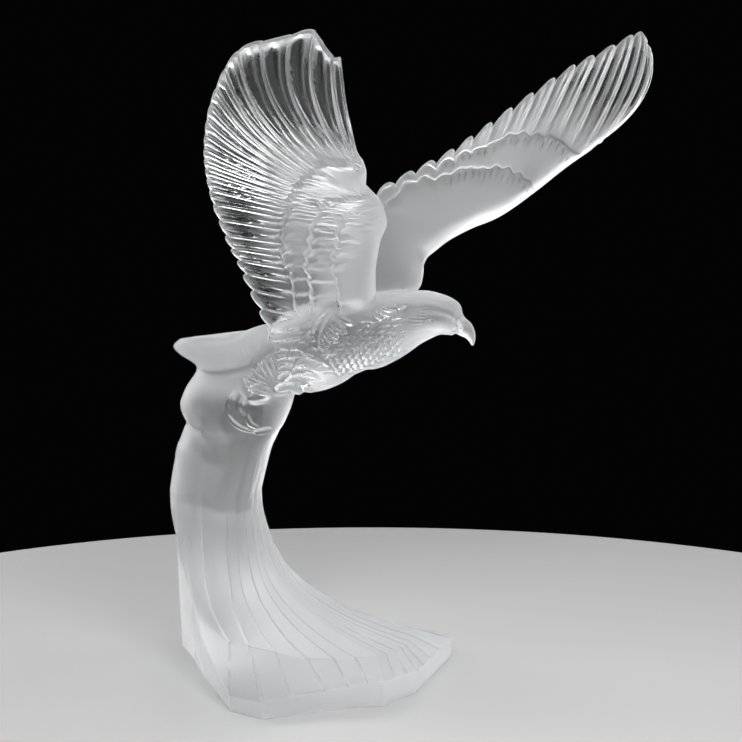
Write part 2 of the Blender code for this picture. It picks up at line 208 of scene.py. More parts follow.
# Plain feathers on the trunk's far side, by station: size, and upper and lower line in degrees
PLUME_SIZES = ((0, 3, 6, 9.2), (9, 7, 4.6, 2.6))
PLUME_TOP = ((0, 5, 7, 9.6), (60, 36, 16, 6))
PLUME_BELLY = ((0, 2, 4, 6, 9.6), (-34, -34, -62, -64, -50))
TOP_FADE = 6
BELLY_FADE = 8
HEAD_FADE = (9, 9.8)
LAST_PLUMES = 9.6  # station of the foremost row, and least travel of a row
FIRST_PLUMES = 5
PLUME_SHARES = (1.5, 0.8, 0.2)  # length, width and height as shares of the size
PLUME_PITCH = 0.6
FEWEST_PLUMES = 6
PLUME_OVERLAP = 0.02
PLUME_TIP = 0.45  # where a feather begins to close, and how suddenly
PLUME_POWER = 2.2
PLUME_WIDTH = 0.62  # half width as a share of the pitch round the limb
PLUME_FALL = 0.45  # fall of its vault to the edges
PLUME_SHAFT = (0.12, 0.06)  # height and width of its shaft
PLUME_BASE = 0.15  # height of its base, and how fast it rises
PLUME_RISE = 0.8
# Hollow before the wing: station, reach, angle, reach round, depth and polish
SHOULDER = (5.7, 0.55, 28, 12, 2.2, 0.5)
TRUNK_SIDE = (-0.1, 0.15)  # cosines between which the carved side begins
THIGH_SIDE = (-0.2, 0.1)
NEAR_DEPTH = 40  # the near thigh lies in front of this depth

# Wings: for each feather line its leading edge, middle and tip, and where coverts end along it
NEAR_WING = (
    ((40, 1, 226), (8, 18, 220), (-24, 26, 222), (0.62, 0.46, 0.20)),
    ((41, -8, 244), (5, 9, 236), (-31, 17, 238), (0.62, 0.46, 0.20)),
    ((43, -14, 259), (1, 4, 254), (-40, 12, 259), (0.62, 0.47, 0.23)),
    ((43, -22, 277), (-2, -3, 274), (-47.5, 5, 279), (0.62, 0.48, 0.27)),
    ((46, -32, 296), (-7, -12, 293), (-55, -4, 297), (0.60, 0.43, 0.25)),
    ((50, -42, 308), (-10, -22, 314), (-63, -14, 323), (0.53, 0.36, 0.22)),
    ((48, -48, 319), (-16, -32, 334), (-66, -28, 354), (0.43, 0.26, 0.12)),
    ((44, -52, 325), (-20, -44, 350), (-59, -52, 388), (0.33, 0.12, -0.02)),
    ((40, -56, 329), (-19, -58, 367), (-41, -78, 418), (0.25, 0.02, -0.1)),
    ((37, -60, 333), (-8, -70, 380), (-14, -100, 426), (0.20, -0.1, -0.2)),
    ((37, -66, 343), (8, -80, 382), (8, -116, 430), (0.12, -0.2, -0.2)),
    ((33, -69, 347), (26.5, -86, 376), (22, -116, 414), (0.03, -0.2, -0.2)),
)
FAR_WING = (
    ((56, -3, 240), (32, 8, 240), (8, 26, 240), (0.95, 0.80)),
    ((65, 3, 254), (36, 15, 259), (7, 32, 261), (0.95, 0.80)),
    ((73, 9, 264), (49, 21, 280), (23, 36, 294), (0.95, 0.80)),
    ((74, 16, 273), (59, 28, 299), (42, 38, 322), (0.95, 0.80)),
    ((77, 20, 280), (70, 32, 308), (66, 46, 336), (0.96, 0.85)),
    ((82, 24, 284), (86, 38, 317), (91, 56, 348), (0.90, 0.73)),
    ((92, 30, 291), (104, 46, 328), (116, 68, 364), (0.79, 0.61)),
    ((107, 38, 298), (125, 57, 340), (144, 82, 383), (0.70, 0.45)),
    ((126, 48, 305), (151, 70, 354), (177, 98, 404), (0.54, 0.27)),
    ((150, 62, 320), (177, 84, 369), (200, 108, 415), (0.33, 0.0)),
    ((172, 74, 336), (198, 94, 381), (216, 116, 423), (0.11, -0.1)),
    ((189, 84, 347), (215, 102, 387), (227, 120, 427), (0.0, -0.2)),
    ((197, 88, 353), (228, 106, 382), (234, 118, 413), (-0.1, -0.2)),
)
TAIL = (
    ((-20, 36, 218), (-52, 43, 214), (-86, 50, 211), (0.3,)),
    ((-20, 41, 221), (-54, 54, 216), (-90, 66, 211), (0.3,)),
    ((-20, 47, 220), (-52, 65, 214), (-86, 84, 207), (0.3,)),
    ((-20, 52, 216), (-47, 74, 209), (-76, 98, 201), (0.3,)),
)
# Where each fifth of the feathers begins along a wing, from root to tip
NEAR_FEATHERS = 26
NEAR_SPACING = (0, 0.25, 0.455, 0.565, 0.72, 1)
FAR_FEATHERS = 20
FAR_SPACING = (0, 0.196, 0.393, 0.567, 0.731, 1)
TAIL_FEATHERS = 7
EVEN_SPACING = (0, 0.5, 1)
# Lines of points across one feather, and rows of points between its edges
NEAR_PHASES = (0, 0.035, 0.07, 0.11, 0.17, 0.24, 0.31, 0.38, 0.46, 0.54, 0.62, 0.7, 0.8, 0.9, 0.96)
FAR_PHASES = (0, 0.05, 0.12, 0.2, 0.28, 0.36, 0.43, 0.48, 0.53, 0.62, 0.72, 0.82, 0.9, 0.95)
TAIL_PHASES = (0, 0.08, 0.2, 0.34, 0.46, 0.55, 0.64, 0.76, 0.88, 0.96)
NEAR_SPANS = (10, 12, 12, 48)
FAR_SPANS = (16, 18, 36)
TAIL_SPANS = (8, 22)
PLAIN_SHARE = 3  # the hidden face has a third of the rows, four at least
PLAIN_LEAST = 4
# Step between two feather tips from root to wing tip, and where in a feather's width it lies
NEAR_NOTCH = (3.5, 4, 3, 1, 1, 1, 1)
FAR_NOTCH = (2, 3, 4.5, 6, 6, 5, 2)
TAIL_NOTCH = (3, 3)
NOTCH_PLACE = 0.68
NOTCH_POWER = 2.2
CUT_POWER = 5
NEAR_DENT = (10.45, 0.5, 6)  # dip near the tip: feather line, reach and depth
NEAR_ROOT = 8  # extra thickness at the body, and how far out it goes
FAR_ROOT = 10
ROOT_REACH = 0.2
ROOT_FADE = (0.4, 1)
WING_THICKNESS = (20, 16, 13, 10, 8, 6)
TAIL_THICKNESS = (6, 6, 6, 6)
TIP_THICKNESS = 2.6
TAPER = 1.3  # how fast the arm's thickness falls away
NOSE = 0.14  # share of a feather line that the leading edge rounds
OUTER_EDGE = 0.03  # and of the wing that its outer edge rounds
OUTER_END = 1.0005
TIP_ROUND = 1.3  # rounded end of a feather, and its last rows of points
TIP_ROWS = (1.2, 0.6, 0.2, 0)
TIP_CROWDING = 1.1
COVERT_STEP = 2.2  # step at the coverts' edges
STEP_EASE = (0.6, 2.4)  # half its length, and what is added on the outer wing
STEP_SPAN = (0.52, 0.66)
WAVINESS = 1.6  # how far the covert edges sway
WAVE_SHIFT = 0.15
SWAYS = ((0.6, 2.1), (0.4, 5.3))  # slower sways: share and pace along the feathers
ROW_GAP = 0.02  # least gap between two covert edges
SLOPE_STEP = 0.002  # step along the wing over which its slope is taken

# Plain feathers of the hidden faces: lap, shaft (height, place, width), coverts' and tips' reach
PLAIN_LAP = 1.1
PLAIN_SHAFT = (0.5, 0.35, 0.08)
PLAIN_LINES = 0.25
PLAIN_REACH = 0.15
PLAIN_GLOSS = 0.8
PLAIN_CLEAR = (0.05, 0.3)
PLAIN_TIPS = (0.86, 0.97)
PLAIN_BASE = (0.05, 0.15)

# Near wing's feathers. Across one: place, half width, depth and polish of the two troughs; place,
# width and height of the shaft
TROUGH = (0.37, 0.31, 1.7, 1.5)
SECOND_TROUGH = (0.83, 0.13, 0.9, 0.9)
SHAFT = (0.03, 0.045, 1.15)
SHAFT_BEGINS = (-0.02, 0.12)  # past the coverts, and its fall before the tip
SHAFT_ENDS = (0, 7)
NEAR_PACE = 2.4  # how the feathers differ from one to the next
NEAR_REACH = (0.03, 0.26)  # where the troughs begin past the coverts
TROUGH_ENDS = (1.2, 6)  # where they end before the tip, and what a feather adds
TROUGH_SPREAD = (1.6, 4)
TROUGH_OPENS = 0.2
# Barbs on two feathers of three: length, slant, shift from feather to feather, half width
BARBS = (7.5, 2.6, 0.37, 0.42)
BARBS_SPAN = (0.24, 0.2, 0.74, 0.17)  # place and half width across the feather and along it
BARBS_HEIGHT = 1.3
BARBS_BEGIN = (0.1, 0.5)
OUTER_WING = (0.5, 0.6)  # shares of the wing between which its outer part begins
MIDDLE_WING = (0.47, 0.16)
LOWER_WING = (0.2, 0.34)
RELIEF = (0.5, -0.15, 0.65)  # depth of the relief at the root, and its two changes
RELIEF_SPANS = ((0.2, 0.35), (0.52, 0.72))
TIP_RIM = (0.35, 1, 5, 0.3)  # height, begin and end before the tip, width
BORDER = (0.2, 3, 12)  # polish, begin and end before the tip
COVERT_LINES = (0.14, 0.15, 0.3)
COVERT_BAND = (1.9, 0.6, -2.6, 2.3)  # height, what a feather adds, place past the edge, width
COVERT_END = 0.6
COVERT_GROOVE = (0.7, 1.7, 1.4)  # depth, place past the edge, width
COVERT_SHADE = (0.55, 1.7, 1.3, 14)  # polish, place, width, least distance from the front
CELLS = (0.42, 0.12, 0.25)  # hollow of a covert: half width, begin and full depth
CELL_DEPTH = 0.9
CELL_GLOSS = 0.35
OPEN_GLOSS = (0.3, 0.15)  # polish between the shafts, and what the middle adds

# Far wing's feathers: lap, ridge and shaft (height, place, width), grooves (depth, place, width)
FAR_LAP = 1.5
FAR_RIDGE = (0.9, 0.97, 0.07)
FAR_SHAFT = (0.45, 0.48, 0.05)
FAR_GROOVES = ((0.9, 0.2, 0.17), (0.6, 0.72, 0.13))
FAR_REACH = (0.01, 0.2)
FAR_BASE = 0.6  # relief near the coverts, and where it is whole
FAR_RISE = (0.5, 0.8)
FAR_SEAM = (0.8, 0.6, 0.7)  # depth, place and width of the line past a covert edge
TICKS = (2, 0.25, 0.2)  # ticks in a feather, shift, half width
TICK_SPAN = (-4.5, -1.2, 3.1, 3.4)  # place before the edge, its change and pace, half length
TICKS_BEGIN = (0.38, 0.46)
TICKS_END = (0.8, 0.88)
TICK_DEPTH = 1.5
TICK_GLOSS = 0.7
CLEAR_REACH = (0.16, 0.42)  # clear tips: begin past the coverts, end before the tip
CLEAR_ENDS = (0.8, 3.5)
CLEAR_SPANS = ((0.2, 0.24), (0.72, 0.2))
CLEAR_GLOSS = 0.8

# Camera, in drawn millimetres, and the picture it takes; the marks below are given in its pixels
CAMERA = (40, -1481.5, 442.7)
AIM = (40, 0, 208)
LENS = 111
SENSOR = 36
PICTURE = 742

SLOT = 1.2  # width of the slot round a feather's tip, in pixels
SLOT_WIDENING = 0.12  # what a feather's own width adds to it, as a share
SLOT_DEPTH = 0.7  # and its depth, as a share of the feather's height
SLOT_BEGINS = (0.1, 0.4)
SLOT_GLOSS = 1.4
PATH_POINTS = 17  # points along a mark's path
BASE_WIDTH = 0.75  # width and height of a feather's base, height of its edge
BASE_HEIGHT = 0.3
EDGE_HEIGHT = 0.25
TIP_BEGINS = 0.6  # where it begins to close, and over which reach
TIP_REACH = 0.45
QUILL_HEIGHT = 0.15
QUILL_WIDTH = 0.6
ROW_BEND = 0.4  # bend of the feathers in a patch, in pixels, and its pace
ROW_PACE = 2.3

# Single feathers: base, bend and tip, width in pixels, height in millimetres, polish round them
SCAPULARS = (
    ((333.5, 307.5), (318, 319), (311, 335), 4, 1.8, 0.6),
    ((331, 313), (320.5, 325), (315.5, 341.5), 4, 1.9, 0.8),
    ((325, 320), (320.5, 330), (318, 346), 3.5, 1.7, 0.8),
    ((314.5, 343), (319, 349), (326, 356), 3, 1.3, 0.6),
    ((341, 305), (347.5, 310), (352.5, 311.5), 4, 1.4, 0.5),
    ((336, 312.5), (343.5, 320), (352, 324), 4.5, 2.2, 1),
    ((333, 320.5), (339.5, 325.5), (345, 333), 3.6, 2, 1),
    ((328.5, 324), (335.5, 330), (342.5, 334), 3.2, 1.9, 1),
    ((327, 327.5), (332, 333), (338, 338), 3.2, 1.9, 1),
    ((324.5, 330.5), (329.5, 337), (335.5, 341.5), 3, 1.8, 1),
    ((322, 334.5), (326, 340.5), (331, 345.5), 3, 1.7, 1),
    ((320.5, 339), (324.5, 344), (333, 346.5), 2.8, 1.5, 0.9),
)
CLUMP = (
    ((359.5, 335.5), (353.5, 337), (348.5, 340.5), 3, 1.5, 1),
    ((361, 339), (355, 341.5), (350, 344.5), 3, 1.5, 1),
    ((362.5, 342), (357.5, 344.5), (352.5, 348), 3, 1.4, 1),
    ((371, 334.5), (366, 337), (360, 338), 2.8, 1.3, 0.8),
    ((372, 340), (367, 343), (361.5, 345.5), 3, 1.3, 0.8),
    ((379, 330), (371, 328), (362.5, 331.5), 2.8, 1.2, 0.7),
    ((382.5, 334), (372.5, 331.5), (364.5, 335.5), 2.6, 1.2, 0.7),
    ((376, 323), (368.5, 320.5), (361, 321.5), 2.8, 1.1, 0.6),
    ((384, 327.5), (376, 325.5), (367.5, 325), 2.6, 1.1, 0.6),
)
LOWER_COVERTS = (
    ((312, 349), (298, 352), (285, 352), 8, 1.5, 0.8),
    ((310, 341), (294, 344), (279, 346), 8.5, 1.7, 0.9),
    ((306, 332), (289, 335), (272, 338), 9, 1.8, 0.9),
    ((302, 322), (286, 325), (268, 329), 9, 1.8, 0.9),
    ((322, 328), (314, 335), (303, 339), 7, 1.4, 0.7),
    ((318, 318), (311, 325), (301, 329), 7, 1.4, 0.7),
)
RUFF = (
    ((373.5, 308), (375, 315), (382.5, 320), 3.4, 1.8, 1),
    ((378.5, 308), (381.5, 312.5), (388.5, 315.5), 3, 1.7, 1),
    ((381.5, 307), (388.5, 310), (397.5, 311.5), 2.8, 1.5, 0.8),
    ((392.5, 305), (399, 306.5), (406, 305), 2.2, 0.8, 0.5),
)
FLANK = (
    ((296.5, 365), (288, 360.5), (278, 362), 6, 2.2, 1),
    ((298, 372), (288, 368), (279, 370.5), 6.6, 2.2, 1),
    ((291, 380), (285, 377), (279, 379), 6.6, 2.2, 1),
    ((303, 383), (295.5, 378), (288.5, 380), 7, 2.2, 1),
    ((299, 392.5), (288, 386.5), (277, 389), 6.6, 2.2, 1),
    ((311, 390.5), (307, 389), (303, 388), 6, 1.7, 1),
    ((302, 373), (297, 370.5), (292.5, 373), 6, 1.9, 1),
    ((290, 355), (283, 353), (276, 355), 6, 1.9, 1),
    ((303, 356), (296, 353), (289, 356), 6, 1.6, 1),
    ((323, 373), (313, 368), (303, 366), 5, 1.5, 0.9),
    ((331, 368), (324.5, 360), (314.5, 358), 8, 1.6, 0.8),
    ((318, 379), (309.5, 375), (302, 375.5), 4.5, 1.4, 0.9),
    ((341, 373), (331, 369.5), (321, 370.5), 4, 1.2, 0.6),
    ((314.5, 366), (306.5, 361.5), (298, 363), 6, 1.7, 0.9),
    ((311, 350), (303, 346), (296, 347), 7, 1.3, 0.8),
    ((322, 359), (314, 352), (306, 352), 7, 1.3, 0.7),
    ((327, 382), (319, 383), (311, 382.5), 4.5, 1.1, 0.5),
)
THIGH_TUFT = (
    ((276.5, 378), (273, 369.5), (270.5, 359.5), 4, 1.7, 0.9),
    ((273, 381), (268, 373), (264, 361), 4, 1.8, 1),
    ((271.5, 383), (264, 374.5), (258, 364.5), 4, 1.8, 1),
    ((270, 383.5), (260.5, 378), (251.5, 370.5), 4, 1.8, 1),
    ((269, 386), (258, 383), (248, 378), 4, 1.8, 1),
    ((258, 386.5), (250.5, 384), (244, 381), 4.5, 1.6, 1),
    ((271.5, 390.5), (261.5, 387.5), (252.5, 386.5), 4, 1.8, 1),
    ((272.5, 394.5), (261.5, 393), (251.5, 390), 4, 1.8, 1),
    ((273, 399), (263, 398), (253, 394.5), 4.5, 1.7, 1),
    ((266.5, 402.5), (259.5, 401.5), (253, 398), 4, 1.4, 0.7),
)
# Patches of feathers: ends of the first and of the last row, rows, feathers in a row, the way the
# tips point there in degrees, length and width in pixels, height and polish
PATCHES = (
    ((428, 309.5), (428, 329), (392, 313), (404, 351), 9, 7, (183, 200), (10, 11), (3.8, 5), 0.5, 0.25),
    ((397, 316), (405, 351), (330, 350), (346, 374), 12, 6, (202, 188), (10, 12), (5.6, 7), 1.3, 0.6),
)
# Marks on the near wing's wrist and on the rock: path, width, height (cut where negative), polish
WRIST = (
    ((334, 195), (334.5, 196), (335, 197), 4.5, -1.6, 0.9),
    ((299, 182), (299.5, 187), (301, 191.5), 1.8, -1.1, 0.9),
    ((311.5, 198), (315.5, 199), (321.5, 201), 2, -1.2, 0.9),
    ((312, 194.5), (316.5, 195), (322, 197), 1.8, -1, 0.7),
    ((314.5, 188), (318.5, 185), (325.5, 183), 3.4, -0.9, 0.5),
    ((319.5, 173), (324.5, 172), (331.5, 171), 2.4, -0.9, 0.6),
    ((331, 179), (334, 181), (336, 185), 2.4, -0.8, 0.5),
    ((363, 239), (363.5, 226), (378, 214.5), 5, 1.5, 0),
    ((321.5, 223), (340, 226), (353, 234), 6, 1.2, 0),
    ((351, 233), (345, 237.5), (336, 236), 5, 1.1, 0),
    ((323.5, 219.5), (335.5, 223.5), (341, 231.5), 1.8, -0.8, 0.7),
    ((337.5, 239.5), (345, 241.5), (353, 243.5), 1.8, -0.8, 0.6),
    ((337.5, 245.5), (345, 248.5), (353, 252), 1.8, -0.8, 0.6),
    ((336.5, 251), (342, 255), (348, 260), 1.8, -0.7, 0.5),
    ((369, 262), (371, 276), (379, 290), 9, -0.8, 0),
)
ROCK_MARKS = (
    ((184, 421), (197, 430), (207, 440), 2.6, -0.9, 0.5),
    ((204, 420), (201, 426), (197, 431), 2.4, -0.8, 0.5),
    ((207, 440), (212, 448), (216, 458), 2, -0.7, 0.5),
    ((274.5, 435), (257, 470), (249.5, 515), 2.2, -1, 0.6),
    ((286, 424), (280, 431), (274.5, 436), 2.2, -0.9, 0.5),
    ((176, 459), (181, 498), (189, 550), 2.2, -1, 0.6),
    ((184, 440), (205, 462), (222, 466), 9, -1, 0),
    ((184, 500), (225, 512), (255, 510), 12, -1.1, 0),
    ((196, 408), (210, 414), (226, 436), 8, -0.9, 0),
    ((184, 349), (215, 353), (250, 348), 7, -0.9, 0),
    ((229, 397), (225.5, 407), (231, 418), 2.4, -1.2, 0.9),
    ((241, 396), (246.5, 405), (243, 417), 2.4, -1.2, 0.9),
    ((251, 402), (256, 410), (255, 420), 2.4, -1.1, 0.9),
    ((222, 420), (236, 436), (262, 443.5), 2.4, -1.2, 0.8),
    ((236, 421), (243, 430), (252, 434), 2.4, -1.1, 0.8),
    ((262, 410), (262, 420), (257, 430), 2.4, -1, 0.7),
)

# Fused seams: rings round a seam that soften, their fall, rounds of softening and its strength
SEAM_RINGS = 3
SEAM_FALL = 0.8
SEAM_ROUNDS = 8
SEAM_PULL = 0.6

TINT = (0.94, 0.955, 0.965, 1)
REFRACTION = 1.52
FROST = (0.5, 0.62)  # roughness of the frosted skin, from cloud to cloud
POLISHED = 0.06  # and of the polished parts
CLOUDS = 60  # clouds and grain: how fine they are, and their detail
CLOUD_DETAIL = 3
GRAIN = 1400
GRAIN_DETAIL = 2
GRAIN_STRENGTH = 0.12
GRAIN_HEIGHT = 0.0003

FLOOR_RADIUS = 0.55
FLOOR_SIDES = 160
FLOOR_PLACE = (0.04, -0.1, -0.0002)
FLOOR_GREY = 0.35
FLOOR_ROUGHNESS = 0.5
SURROUND_GREY = 0.001
# Softboxes: place, aim, width and height, watts and spread in degrees
SOFTBOXES = (
    ("overhead", (0.05, 0.10, 1.15), (0.03, 0, 0.25), (0.9, 0.9), 7, 180),
    ("left_back", (-0.95, 0.55, 0.55), (0, 0, 0.25), (0.5, 1.0), 10, 180),
    ("right_back", (0.95, 0.55, 0.60), (0.03, 0, 0.25), (0.5, 1.0), 3, 180),
    ("back", (0.25, 1.25, 0.85), (0.12, 0, 0.45), (1.0, 0.4), 0.85, 60),
    ("front", (0.3, -1.5, 1.0), (0.03, 0, 0.2), (1.7, 1.2), 64, 180),
)


def along(rows, place):
    """Value at each place (0 to 1) on a smooth curve through evenly spaced rows."""
    rows = np.asarray(rows, float)
    last = len(rows) - 1
    reach = np.clip(np.asarray(place, float), 0, 1) * last
    index = np.minimum(reach.astype(int), last - 1)
    part = (reach - index).reshape(reach.shape + (1,) * (rows.ndim - 1))
    before = rows[np.maximum(index - 1, 0)]
    start = rows[index]
    end = rows[index + 1]
    after = rows[np.minimum(index + 2, last)]
    bend = (start * 3 - before - end * 3 + after) * part ** 3
    turn = (before * 2 - start * 5 + end * 4 - after) * part ** 2
    return (start * 2 + (end - before) * part + turn + bend) / 2


def between(start, end, part):
    """Value at a part of the way from start to end."""
    return np.asarray(start) + (np.asarray(end) - start) * part


def bowed(lead, middle, tip, share):
    """Points at shares of the parabola through three rows of points."""
    return (lead * (1 - share) * (1 - 2 * share) + middle * 4 * share * (1 - share)
            + tip * share * (2 * share - 1))


def step(value, start, end):
    """Smooth rise from 0 at the start to 1 at the end."""
    part = np.clip((value - start) / (end - start), 0, 1)
    return part * part * (3 - 2 * part)


def bell(value, centre, width):
    """Smooth hump of height 1."""
    return np.exp(-((value - centre) / width) ** 2)


def window(value, centre, half_width):
    """Rounded hump of height 1 that is 0 past its half width."""
    offset = (value - centre) / np.maximum(half_width, 1e-6)
    return np.clip(1 - offset ** 2, 0, 1) ** 1.5


def rounded(value):
    """Quarter round that rises from 0 to 1 with the value."""
    return np.sqrt(np.clip(1 - (1 - np.clip(value, 0, 1)) ** 2, 0, 1))


def skin(name, points, polish, ends=(0, -1), flat=()):
    """Closed mesh object over rows of points that run round it.

    ends are the rows closed by a fan of faces, flat those closed by one face.
    """
    mesh = bmesh.new()
    layer = mesh.verts.layers.float.new("polish")
    grid = []
    for row, shine in zip(points, polish):
        line = []
        for point, value in zip(row, shine):
            vertex = mesh.verts.new(point)
            vertex[layer] = value
            line.append(vertex)
        grid.append(line)
    count = len(grid[0])
    for lower, upper in zip(grid, grid[1:]):
        for near in range(count):
            far = (near + 1) % count
            mesh.faces.new((lower[near], lower[far], upper[far], upper[near]))
    for row in (grid[end] for end in ends):
        middle = mesh.verts.new(np.mean([vertex.co for vertex in row], axis=0))
        for near in range(count):
            mesh.faces.new((row[near], row[(near + 1) % count], middle))
    for row in (grid[end] for end in flat):
        mesh.faces.new(row)
    bmesh.ops.remove_doubles(mesh, verts=mesh.verts, dist=MERGE)
    bmesh.ops.recalc_face_normals(mesh, faces=mesh.faces)
    data = bpy.data.meshes.new(name)
    mesh.to_mesh(data)
    mesh.free()
    made = bpy.data.objects.new(name, data)
    bpy.context.scene.collection.objects.link(made)
    return made


def grid_normals(points):
    """Unit normals of a grid of points."""
    down = np.gradient(points, axis=0)
    across = np.gradient(points, axis=1)
    normals = np.cross(down, across)
    return normals / np.maximum(np.linalg.norm(normals, axis=2, keepdims=True), 1e-12)


def in_picture(points):
    """Pixel of the camera's picture where each point shows."""
    ahead = np.array(AIM, float) - CAMERA
    ahead /= np.linalg.norm(ahead)
    right = np.array((1.0, 0.0, 0.0))
    up = np.cross(right, ahead)
    way = points - np.array(CAMERA)
    scale = PICTURE * LENS / SENSOR / (way @ ahead)
    return np.stack((PICTURE / 2 + way @ right * scale, PICTURE / 2 - way @ up * scale), axis=-1)


def patched(patches):
    """Single feathers of patches, in staggered rows."""
    feathers = []
    for first, second, third, fourth, rows, count, aims, lengths, widths, height, shine in patches:
        for row in reversed(range(rows)):
            down = row / (rows - 1)
            turn = np.radians(between(*aims, down))
            aim = np.array((np.cos(turn), -np.sin(turn)))
            length = between(*lengths, down)
            width = between(*widths, down)
            for number in range(count):
                across = (number + 0.5 * (row % 2)) / (count - 0.5)
                middle = between(between(first, second, across), between(third, fourth, across), down)
                bend = np.array((aim[1], -aim[0])) * ROW_BEND * np.sin(number * ROW_PACE + row)
                base = middle - aim * length / 2
                tip = middle + aim * length / 2
                feathers.append((base, middle + bend, tip, width, height, shine))
    return feathers


def carved(points, marks):
    """Height and polish that the marks give the points they cover in the picture.

    A later feather lies over the earlier ones, with a slot round its tip.
    """
    shown = in_picture(points)
    height = np.zeros(shown.shape[:-1])
    gap = np.zeros(height.shape)
    for *path, width, lift, shine in marks:
        path = along(path, np.linspace(0, 1, PATH_POINTS))
        low = path.min(axis=0) - width
        high = path.max(axis=0) + width
        near = ((shown > low) & (shown < high)).all(axis=-1)
        if not near.any():
            continue
        apart = np.linalg.norm(shown[near][:, None] - path[None], axis=2)
        way = apart.argmin(axis=1) / (PATH_POINTS - 1)
        off = apart.min(axis=1)
        if lift < 0:
            bowl = bell(off, 0, width / 2)
            height[near] += lift * bowl
            gap[near] = np.maximum(gap[near], shine * bowl)
            continue
        half = width / 2 * (BASE_WIDTH + (1 - BASE_WIDTH) * np.sin(np.pi * np.clip(way, 0, 0.5)))
        half = half * np.sqrt(1 - np.clip((way - TIP_BEGINS) / TIP_REACH, 0, 1) ** 2)
        slot = SLOT + SLOT_WIDENING * width
        vault = np.sqrt(np.clip(1 - (off / half) ** 2, 0, 1))
        inside = off < half
        ring = window(off, half + slot / 2, slot / 2) * step(way, *SLOT_BEGINS)
        quill = QUILL_HEIGHT * bell(off, 0, QUILL_WIDTH)
        own = lift * (BASE_HEIGHT + (1 - BASE_HEIGHT) * way)
        own = own * (EDGE_HEIGHT + (1 - EDGE_HEIGHT) * vault + quill)
        height[near] = np.where(inside, own, height[near] - SLOT_DEPTH * lift * ring)
        shine = shine * np.minimum(1, SLOT_GLOSS * ring)
        gap[near] = np.where(inside, 0, np.maximum(gap[near], shine))
    return height, gap


def rock_ring(angles, level):
    """Round of the column at one level."""
    height, left, right, front, back, drop = level
    cosine = np.cos(angles)
    sine = np.sin(angles)
    middle = np.array(((left + right) / 2, (front + back) / 2))
    reach = (np.abs(cosine) ** ROUNDNESS + np.abs(sine) ** ROUNDNESS) ** (-1 / ROUNDNESS)
    x = middle[0] + cosine * reach * (right - left) / 2
    y = middle[1] + sine * reach * (back - front) / 2
    centre = (front + back) / 2
    lean = step(height, *LEAN_HEIGHTS) * LIP_RISE * step(x, *LEAN_SPAN)
    forward = step(height, *FORWARD_HEIGHTS) * LIP_FRONT * (1 - step(y, front, centre))
    z = height + lean + forward - drop * step(y, centre, back)
    return np.stack((x, y, z), axis=1)


def rock():
    """Rock with its grooved foot, column and lip."""
    corners = len(FOOT)
    place = [FRONT_SHARES + corner for corner in range(6)]
    place += [BACK_SHARES + corner for corner in range(6, corners)]
    place += [FINE_COLUMNS + line for line in FINE_LINES]
    place = np.sort(np.concatenate(place))
    table = np.array(FOOT + FOOT[:1], float)
    table[-1, 6] += 360
    fan = np.stack([np.interp(place, range(corners + 1), column) for column in table.T], axis=1)
    rim = fan[:, :3] + np.array((0, 0, RIM_HEIGHT / DRAWN))
    knee = fan[:, 3:6]
    angles = np.radians(fan[:, 6])
    foot_top = rock_ring(angles, COLUMN[0])

    def wall(share):
        drawn_in = 1 - DRAFT * rim[:, 2:] * (1 - share)
        return rim * np.concatenate((drawn_in, drawn_in, np.full(drawn_in.shape, share)), axis=1)

    rows = [wall(0) * (SOLE_INSET, SOLE_INSET, 0), wall(0) + (0, 0, SOLE_EDGE)]
    rows += [wall(share) for share in RIM_SHARES]
    rows += [rim - (0, 0, RIM_EDGE)]
    rim_rows = len(rows)
    rows += [rim + (knee - rim) * share for share in APRON_SHARES]
    to_front = np.clip(-np.sin(angles), 0, 1)
    for share in np.linspace(0, 1, SLOPE_RINGS)[:-1] ** SLOPE_CROWDING:
        height = knee[:, 2] + (foot_top[:, 2] - knee[:, 2]) * share
        rest = 1 - share
        side = SIDE_MIX * rest ** SIDE_FLARE[0] + (1 - SIDE_MIX) * rest ** SIDE_FLARE[1]
        spread = side + (rest ** FRONT_FLARE - side) * to_front
        ring = foot_top + (knee - foot_top) * spread[:, None]
        ring[:, 2] = height
        rows.append(ring)
    for share in np.linspace(0, 1, COLUMN_RINGS):
        rows.append(rock_ring(angles, along(COLUMN, share)))
    lip = rows[-1]
    middle = lip.mean(axis=0)
    for inset, rise in LIP_CROWN:
        ring = middle + (lip - middle) * inset
        rows.append(ring + np.array((0, 0, rise)))
    points = np.array(rows)

    off_line = np.abs(place - np.rint(place))
    on_groove = np.isin(np.rint(place) % corners, GROOVED)
    notch = bell(off_line, 0, FAN_GROOVE_WIDTH) * on_groove
    for line in FINE_LINES:
        notch = notch + FINE_DEPTH * bell(place, line, FAN_GROOVE_WIDTH / 2)
    lap = np.where(on_groove, 0.5 - (place % 1), 0) * LAP
    heights = points[:, :, 2]
    above_rim = (np.arange(len(rows)) >= rim_rows)[:, None]
    reach = above_rim * (1 - step(heights, *GROOVES_END))
    depth = (notch[None, :] + lap[None, :]) * reach * FAN_GROOVE
    flutes = np.cos(2 * np.pi * place)[None, :] * step(heights, *FLUTES_BEGIN)
    depth = depth + flutes * (1 - step(heights, *FLUTES_END)) * FLUTE
    normals = grid_normals(points)
    middle = points.mean(axis=1, keepdims=True)
    outward = np.sign(((points - middle) * normals).sum(axis=2, keepdims=True))
    marks, shine = carved(points, ROCK_MARKS)
    marks = marks * (points[:, :, 1] < MARKS_DEPTH)
    points = points + normals * outward * (marks - depth)[:, :, None]
    polish = np.clip(GROOVE_GLOSS * notch[None, :] * reach + shine, 0, ROCK_GLOSS)
    return skin("rock", points * DRAWN, polish)


